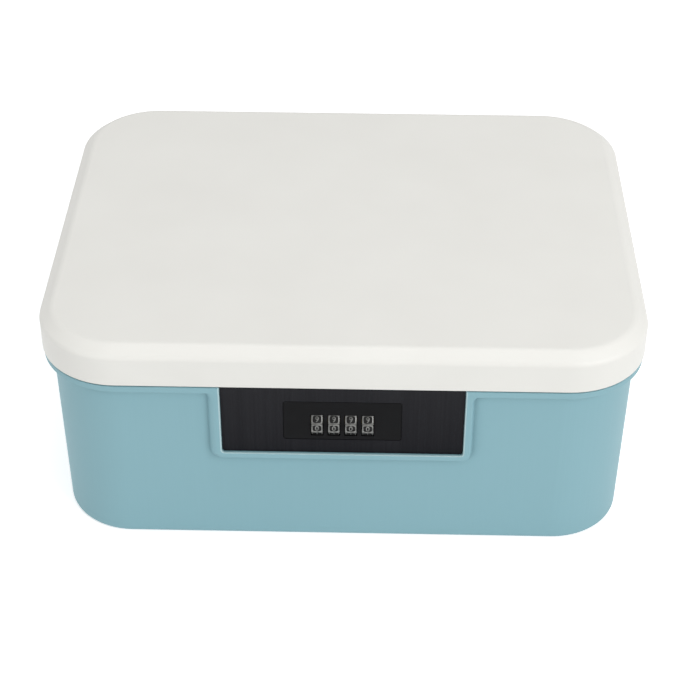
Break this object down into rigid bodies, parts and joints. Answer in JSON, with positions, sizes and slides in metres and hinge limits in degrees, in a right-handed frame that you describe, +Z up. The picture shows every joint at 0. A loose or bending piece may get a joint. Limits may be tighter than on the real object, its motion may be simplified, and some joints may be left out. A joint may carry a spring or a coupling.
{
  "type": "medication lock box",
  "caption": "Hinged-lid medicine box with tapered bin, overhanging chamfered lid and a number-wheel lock set in a raised frame at the front.",
  "frame": {"origin": "middle of the flat underside, midway between the straight sides and walls of the bin", "axes": "+X to the right seen from the front, +Y to the back where the hinges are, +Z up"},
  "size_m": [0.3, 0.2424, 0.1216],
  "materials": {
    "blue_moulding": "satin moulded plastic, pale grey blue",
    "white_moulding": "satin moulded plastic, warm white",
    "ribbed_black": "fine vertical ribs, black",
    "smooth_black": "smooth satin black",
    "inner_black": "fine spark texture, black",
    "plated_wheel": "satin nickel plating, dark number pockets",
    "sleeve_brass": "turned brass",
    "spring_steel": "rolled spring steel",
    "catch_steel": "zinc plated sheet steel",
    "bright_steel": "bright turned steel"
  },
  "bodies": {
    "bin": {"base_bin": "blue_moulding", "lock_panel": "ribbed_black", "lock_insert": "smooth_black", "lock_case": "inner_black", "lock_cover": "inner_black", "detent_spring": "spring_steel", "case_screw_1": "bright_steel", "case_screw_2": "bright_steel", "case_screw_3": "bright_steel", "case_screw_4": "bright_steel", "cover_screw_1": "bright_steel", "cover_screw_2": "bright_steel", "cover_screw_3": "bright_steel", "cover_screw_4": "bright_steel", "detent_screw_left": "bright_steel", "detent_screw_right": "bright_steel", "hinge_pin_left": "bright_steel", "hinge_pin_right": "bright_steel"},
    "lid": {"lid_shell": "white_moulding", "lid_catch": "catch_steel", "catch_screw_left": "bright_steel", "catch_screw_right": "bright_steel"},
    "wheel_1": {"number_wheel_1": "plated_wheel"},
    "wheel_2": {"number_wheel_2": "plated_wheel"},
    "wheel_3": {"number_wheel_3": "plated_wheel"},
    "wheel_4": {"number_wheel_4": "plated_wheel"},
    "code_shift": {"code_slide": "smooth_black", "lock_spindle": "bright_steel"},
    "sleeve_1": {"gate_sleeve_1": "sleeve_brass"},
    "sleeve_2": {"gate_sleeve_2": "sleeve_brass"},
    "sleeve_3": {"gate_sleeve_3": "sleeve_brass"},
    "sleeve_4": {"gate_sleeve_4": "sleeve_brass"}
  },
  "joints": [
    {"name": "lid_hinge", "type": "hinge", "parent": "bin", "child": "lid", "pos_m": [0, 0.1215, 0.094], "axis": [-1, 0, 0], "range_deg": [0, 100]},
    {"name": "wheel_1_turn", "type": "hinge", "parent": "bin", "child": "wheel_1", "pos_m": [-0.01182, -0.1089, 0.0754], "axis": [1, 0, 0], "continuous": true},
    {"name": "wheel_2_turn", "type": "hinge", "parent": "bin", "child": "wheel_2", "pos_m": [-0.00354, -0.1089, 0.0754], "axis": [1, 0, 0], "continuous": true},
    {"name": "wheel_3_turn", "type": "hinge", "parent": "bin", "child": "wheel_3", "pos_m": [0.00474, -0.1089, 0.0754], "axis": [1, 0, 0], "continuous": true},
    {"name": "wheel_4_turn", "type": "hinge", "parent": "bin", "child": "wheel_4", "pos_m": [0.01302, -0.1089, 0.0754], "axis": [1, 0, 0], "continuous": true},
    {"name": "code_slide_travel", "type": "slide", "parent": "bin", "child": "code_shift", "axis": [1, 0, 0], "range_m": [0, 0.00108]},
    {"name": "sleeve_1_turn", "type": "hinge", "parent": "code_shift", "child": "sleeve_1", "pos_m": [-0.01182, -0.1089, 0.0754], "axis": [1, 0, 0], "continuous": true},
    {"name": "sleeve_2_turn", "type": "hinge", "parent": "code_shift", "child": "sleeve_2", "pos_m": [-0.00354, -0.1089, 0.0754], "axis": [1, 0, 0], "continuous": true},
    {"name": "sleeve_3_turn", "type": "hinge", "parent": "code_shift", "child": "sleeve_3", "pos_m": [0.00474, -0.1089, 0.0754], "axis": [1, 0, 0], "continuous": true},
    {"name": "sleeve_4_turn", "type": "hinge", "parent": "code_shift", "child": "sleeve_4", "pos_m": [0.01302, -0.1089, 0.0754], "axis": [1, 0, 0], "continuous": true}
  ],
  "couplings": [
    {"joint": "sleeve_1_turn", "follows": "wheel_1_turn", "ratio": 1},
    {"joint": "sleeve_2_turn", "follows": "wheel_2_turn", "ratio": 1},
    {"joint": "sleeve_3_turn", "follows": "wheel_3_turn", "ratio": 1},
    {"joint": "sleeve_4_turn", "follows": "wheel_4_turn", "ratio": 1}
  ]
}
